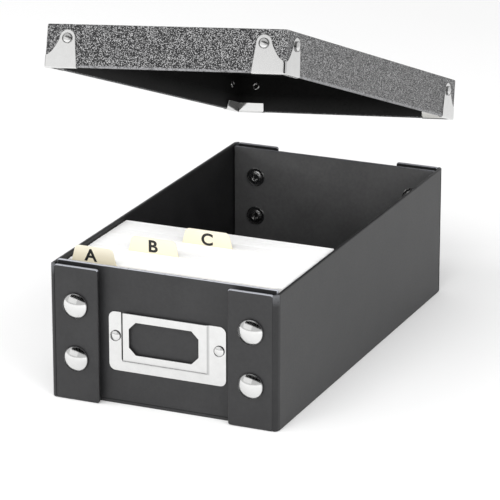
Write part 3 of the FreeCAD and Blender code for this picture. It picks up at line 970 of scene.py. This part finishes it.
def make_card_packs():
    """Each pack as loose sheets that stand a little unevenly."""
    pitch_wanted = 0.34 * MM
    unevenness = 0.5 * MM
    corner = 0.6 * MM
    for number in (1, 2, 3):
        node = f"card_pack_{number}"
        low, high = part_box(node)
        draw = random.Random(40 + number)
        count = round((high.y - low.y) / pitch_wanted)
        pitch = (high.y - low.y) / count
        sheet = pitch * 0.88
        shape = Shape()
        for i in range(count):
            left = low.x + draw.uniform(0, unevenness)
            right = high.x - draw.uniform(0, unevenness)
            top = high.z - min(abs(draw.gauss(0, 0.08 * MM)), unevenness)
            y = low.y + pitch * i
            corners = [
                (left, low.z, 0),
                (right, low.z, 0),
                (right, top, corner),
                (left, top, corner),
            ]
            edge = outline(corners, 2)
            front = [Vector((p.x, y, p.y)) for p in edge]
            behind = [Vector((p.x, y + sheet, p.y)) for p in edge]
            points, faces = skin([front, behind])
            total = len(edge)
            faces += [tuple(range(total)), tuple(range(total, 2 * total))]
            shape.add(points, faces)
        make_piece(f"{node}_sheets", shape, node, "white_card", [WHITE_CARD], [node])


# ---- Lid ----

lid_joint = next(joint for joint in frame["joints"] if joint["name"] == "lid_lift")
lid_pivot = Vector(lid_joint["pos_m"])
raised_by = -math.radians(lid_joint["range_deg"][0])
lid_turn = Matrix.Rotation(raised_by, 4, Vector(lid_joint["axis"]))
RAISED = Matrix.Translation(lid_pivot) @ lid_turn @ Matrix.Translation(-lid_pivot)
LOWERED = RAISED.inverted()


def closed_box(*nodes):
    """The corners of lid nodes with the lid on the box."""
    points = [LOWERED @ v.co for node in nodes for v in frame["nodes"][node].data.vertices]
    low = Vector([min(p[i] for p in points) for i in range(3)])
    high = Vector([max(p[i] for p in points) for i in range(3)])
    return low, high


LID_BOARDS = [
    "lid_top_panel",
    "lid_front_skirt",
    "lid_back_skirt",
    "lid_left_skirt",
    "lid_right_skirt",
]
LID_LOW, LID_HIGH = closed_box(*LID_BOARDS)
LID_CORNER = 1.1 * MM
LID_BOARD = closed_box("lid_left_skirt")[1].x - closed_box("lid_left_skirt")[0].x


def lid_ring(inset, radius, z):
    """A rounded rectangle inside the lid's outer face, always with the same number of points."""
    half_x = (LID_HIGH.x - LID_LOW.x) / 2 - inset
    half_y = (LID_HIGH.y - LID_LOW.y) / 2 - inset
    ring = []
    for quarter, (sx, sy) in enumerate(((1, 1), (-1, 1), (-1, -1), (1, -1))):
        centre = (sx * (half_x - radius), sy * (half_y - radius))
        ring += arc(*centre, radius, 90 * quarter, 90 * quarter + 90, 6)
        start = Vector(ring[-1])
        following = ((-1, 1), (-1, -1), (1, -1), (1, 1))[quarter]
        angle = math.radians(90 * quarter + 90)
        end = Vector((following[0] * (half_x - radius), following[1] * (half_y - radius)))
        end += radius * Vector((math.cos(angle), math.sin(angle)))
        steps = 16 if quarter % 2 == 0 else 28
        ring += [tuple(start.lerp(end, i / steps)) for i in range(1, steps)]
    return [Vector((x, y, z)) for x, y in ring]


def make_lid_shell():
    """The lid as one folded and covered shell: outside, rim, turned-in edge and lining."""
    top, rim = LID_HIGH.z, LID_LOW.z
    round_top = 1.0 * MM
    round_rim = 0.7 * MM
    turn_in = 11.0 * MM
    step = 0.25 * MM
    inner = LID_BOARD
    stations = []
    for inset, height in arc(round_top, top - round_top, round_top, 90, 180, 5):
        stations.append((inset, height, 0.0))
    for height in (top - 6 * MM, top - 12 * MM, rim + 6 * MM, rim + 1.6 * MM):
        stations.append((0.0, height, 0.0))
    outer_rim = arc(round_rim, rim + round_rim, round_rim, 180, 270, 4)
    stations += [(inset, height, 1.0) for inset, height in outer_rim]
    inner_rim = arc(inner - round_rim, rim + round_rim, round_rim, 270, 360, 4)
    stations += [(inset, height, 0.3) for inset, height in inner_rim]
    covered = len(stations) - 1
    stations.append((inner, rim + turn_in, 0.0))
    stations.append((inner + step, rim + turn_in + 0.1 * MM, 0.0))
    stations.append((inner + step, top - LID_BOARD - 0.6 * MM, 0.0))
    stations.append((inner + step + 0.6 * MM, top - LID_BOARD, 0.0))
    rings = []
    wear = []
    for inset, height, worn in stations:
        ring = lid_ring(inset, max(0.35 * MM, LID_CORNER - inset), height)
        rings.append(ring)
        wear.extend([worn] * len(ring))
    points, faces = skin(rings)
    around = len(rings[0])
    shape = Shape()
    shape.add(points, faces[: covered * around], wear=wear)
    shape.cover(faces[covered * around :], finish=1)
    shape.cover([tuple(range(around))], broad=1)
    shape.cover([tuple(range(len(points) - around, len(points)))], finish=1, broad=1)
    shape.moved(RAISED)
    make_piece("lid_shell", shape, "lid", "lid_leatherette", [LEATHER, LID_LINING], LID_BOARDS)


PLATE_SHEET = 0.4 * MM
PLATE_BASE = 20.0 * MM
PLATE_DIP = 6.8 * MM
PLATE_SWEEP = 1.9
RIVET_RADIUS = 3.0 * MM
RIVET_INSET = 13.5 * MM
RIVET_RISE = 16.5 * MM
TAB_RADIUS = 4.8 * MM
LIP_TURN = 5.0 * MM
LIP_ROUND = 0.3 * MM
LIP_FLARE = 1.2 * MM


def plate_outline():
    """A corner plate laid flat: u runs round the corner, v up from the lid's rim."""
    notch = [(2.6 * MM, -2.2 * MM), (2.3 * MM, -1.2 * MM), (0.35 * MM, -0.15 * MM)]
    bends = math.pi * (LIP_ROUND + PLATE_SHEET / 2)
    lip_length = bends + (LID_BOARD - 2 * LIP_ROUND) + LIP_TURN
    side = [(PLATE_BASE, -lip_length), (PLATE_BASE, 2.0 * MM)]
    side += arc(RIVET_INSET, RIVET_RISE, TAB_RADIUS, -4, 180, 16)
    inner_edge = RIVET_INSET - TAB_RADIUS
    for i in range(1, 9):
        u = inner_edge * (1 - i / 9)
        rise = (RIVET_RISE - PLATE_DIP) * (u / inner_edge) ** PLATE_SWEEP
        side.append((u, PLATE_DIP + rise))
    right = [(3.2 * MM, -lip_length)] + side
    left = [(-u, v) for u, v in reversed(right)]
    foot = [(-u, v) for u, v in notch] + notch[::-1]
    return [Vector(p) for p in right + [(0.0, PLATE_DIP)] + left + foot]


def round_corner(u, v, depth):
    """Folds a flat corner plate round the lid's upright corner and under its rim."""
    offset = PLATE_SHEET - depth
    radius = LID_CORNER
    if abs(u) >= radius:
        foot = Vector((0, u)) if u > 0 else Vector((u, 0))
        normal = Vector((1, 0)) if u > 0 else Vector((0, -1))
    else:
        angle = math.radians(-45) + u / radius * math.radians(45)
        normal = Vector((math.cos(angle), math.sin(angle)))
        foot = Vector((-radius, radius)) + radius * normal
    bend = LIP_ROUND
    quarter = math.pi / 2 * (bend + PLATE_SHEET / 2)
    under = LID_BOARD - 2 * bend
    run = bend - v
    if run <= 0:
        out, rise = offset, v
    elif run <= quarter:
        angle = run / quarter * math.pi / 2
        out = -bend + (bend + offset) * math.cos(angle)
        rise = bend - (bend + offset) * math.sin(angle)
    elif run <= quarter + under:
        out = -bend - (run - quarter)
        rise = -offset
    elif run <= 2 * quarter + under:
        angle = (run - quarter - under) / quarter * math.pi / 2
        out = -bend - under - (bend + offset) * math.sin(angle)
        rise = bend - (bend + offset) * math.cos(angle)
    else:
        along = run - 2 * quarter - under
        out = -LID_BOARD - offset - LIP_FLARE * along / LIP_TURN
        rise = bend + along
    spot = foot + normal * out
    return Vector((spot.x, spot.y, rise))


def make_lid_corners():
    loop = refined(plate_outline(), 1.0 * MM)
    extra = []
    step = 0.8 * MM
    u_rows = [i * step for i in range(-25, 26)]
    u_rows += [LID_CORNER * i / 4 for i in range(-3, 4) if i]
    v_rows = [1.2 * MM + i * step for i in range(24)]
    v_rows += [LIP_ROUND - 0.13 * MM * i for i in range(0, 26)]
    v_rows += [-3.6 * MM - i * step for i in range(6)]
    inset = inset_loop(loop, 0.35 * MM)
    for u in u_rows:
        for v in v_rows:
            point = Vector((u, v))
            if inside(point, inset):
                extra.append(point)
    corners = (
        ("front_right", LID_HIGH.x, LID_LOW.y),
        ("back_right", LID_HIGH.x, LID_HIGH.y),
        ("back_left", LID_LOW.x, LID_HIGH.y),
        ("front_left", LID_LOW.x, LID_LOW.y),
    )
    for quarter, (name, x, y) in enumerate(corners):
        turn = Matrix.Rotation(math.pi / 2 * quarter, 4, "Z")
        spot = Matrix.Translation((x, y, LID_LOW.z)) @ turn
        shape = plate([loop], PLATE_SHEET, 0.12 * MM, round_corner, extra=extra, rounds=2)
        shape.moved(RAISED @ spot)
        node = f"lid_{name}_corner"
        make_piece(f"{node}_plate", shape, "lid", "bright_nickel", [NICKEL], [node], **PRESSED)
        rivets = Shape()
        for place, heading in (((-RIVET_INSET, 0), (0, -1, 0)), ((0, RIVET_INSET), (1, 0, 0))):
            outward = Vector(heading)
            foot = Vector((*place, RIVET_RISE))
            head = cap_profile(
                RIVET_RADIUS, rise=1.4 * MM, post=1.3 * MM, depth=LID_BOARD + PLATE_SHEET
            )
            rim_shade = cap_rim_shade(head, RIVET_RADIUS)
            lathe(rivets, head, foot + outward * PLATE_SHEET, outward, segments=32, rim_shade=rim_shade)
            ring = [(1.0 * MM, 0.0), (2.4 * MM, 0.0)] + arc(1.75 * MM, 0.0, 0.7 * MM, 10, 170, 8)
            lathe(rivets, ring, foot - outward * LID_BOARD, -outward, joined=True, segments=28)
        rivets.moved(RAISED @ spot)
        node = f"lid_{name}_rivets"
        make_piece(f"{node}_heads", rivets, "lid", "bright_nickel", [SATIN_NICKEL], [node])


# ---- Studio ----


def aim(item, target):
    item.rotation_euler = (target - item.location).to_track_quat("-Z", "Y").to_euler()


def polar(target, azimuth, elevation, distance):
    """The place seen from target at an azimuth from -Y towards +X and an elevation, in degrees."""
    turn, rise = math.radians(azimuth), math.radians(elevation)
    heading = (math.sin(turn) * math.cos(rise), -math.cos(turn) * math.cos(rise), math.sin(rise))
    return target + distance * Vector(heading)


def make_camera():
    """The photograph's camera, from a fit to the seven visible corners of the box."""
    target = Vector((-0.0032, 0.0, 0.0570))
    data = bpy.data.cameras.new("camera")
    data.lens = 232.35
    data.sensor_width = 36.0
    camera = bpy.data.objects.new("camera", data)
    bpy.context.scene.collection.objects.link(camera)
    camera.location = polar(target, azimuth=23.56, elevation=18.715, distance=1.9139)
    aim(camera, target)
    bpy.context.scene.camera = camera


def soft_light(name, azimuth, elevation, distance, size, power, glossy=False):
    """A soft box aimed at the object, which reflections see only if it is glossy."""
    data = bpy.data.lights.new(name, "AREA")
    data.shape = "RECTANGLE"
    data.size, data.size_y = size
    data.energy = power
    light = bpy.data.objects.new(name, data)
    light.visible_glossy = glossy
    bpy.context.scene.collection.objects.link(light)
    centre = Vector((0, 0, 0.08))
    light.location = polar(centre, azimuth, elevation, distance)
    aim(light, centre)


def make_flag(name, azimuth, elevation, distance, size, roll):
    """A black card that only reflections see, rolled about the line towards the box in degrees."""
    mesh = bpy.data.meshes.new(name)
    x, y = size[0] / 2, size[1] / 2
    mesh.from_pydata([(-x, -y, 0), (x, -y, 0), (x, y, 0), (-x, y, 0)], [], [(0, 1, 2, 3)])
    flag = bpy.data.objects.new(name, mesh)
    bpy.context.scene.collection.objects.link(flag)
    centre = Vector((0, -0.13, 0.05))
    flag.location = polar(centre, azimuth, elevation, distance)
    aim(flag, centre)
    flag.rotation_euler.rotate_axis("Z", math.radians(roll))
    nodes = Nodes(name)
    shade = nodes.ramp(nodes.noise(4, 2), 0, 1, 0.001, 0.003)
    nodes.link(shade, nodes.shader.inputs["Base Color"])
    nodes.shader.inputs["Specular IOR Level"].default_value = 0.0
    mesh.materials.append(nodes.material)
    flag.visible_camera = False
    flag.visible_diffuse = False
    flag.visible_shadow = False
    flag.visible_transmission = False


def make_studio():
    angles = [math.tau * i / 48 for i in range(48)]
    rings = []
    for radius in (0.001, 0.5, 2.0, 12.0):
        rings.append([Vector((radius * math.cos(a), radius * math.sin(a), 0)) for a in angles])
    points, faces = skin(rings)
    mesh = bpy.data.meshes.new("floor")
    mesh.from_pydata([tuple(p) for p in points], [], faces)
    floor = bpy.data.objects.new("floor", mesh)
    bpy.context.scene.collection.objects.link(floor)
    mesh.materials.append(pale_floor())
    world = bpy.data.worlds.new("studio")
    world.use_nodes = True
    background = world.node_tree.nodes["Background"]
    background.inputs["Color"].default_value = (1.0, 1.0, 1.0, 1.0)
    background.inputs["Strength"].default_value = 0.72
    bpy.context.scene.world = world
    bpy.context.scene.view_settings.view_transform = "Standard"
    soft_light("right_light", 54, 20, 1.2, (0.7, 0.7), 6)
    soft_light("front_light", -32, 24, 2.0, (2.2, 1.4), 3.6, glossy=True)
    soft_light("left_light", -72, 20, 2.0, (0.5, 0.7), 14)
    soft_light("upper_light", 0, 54, 2.0, (1.4, 1.2), 17)
    make_flag("upper_flag", 14, 42, 0.8, (3.0, 0.34), -20)


make_walls()
make_end_panels()
make_flaps()
make_creases()
make_snaps()
make_label_holder()
make_guides()
make_card_packs()
make_lid_shell()
make_lid_corners()
make_studio()
make_camera()
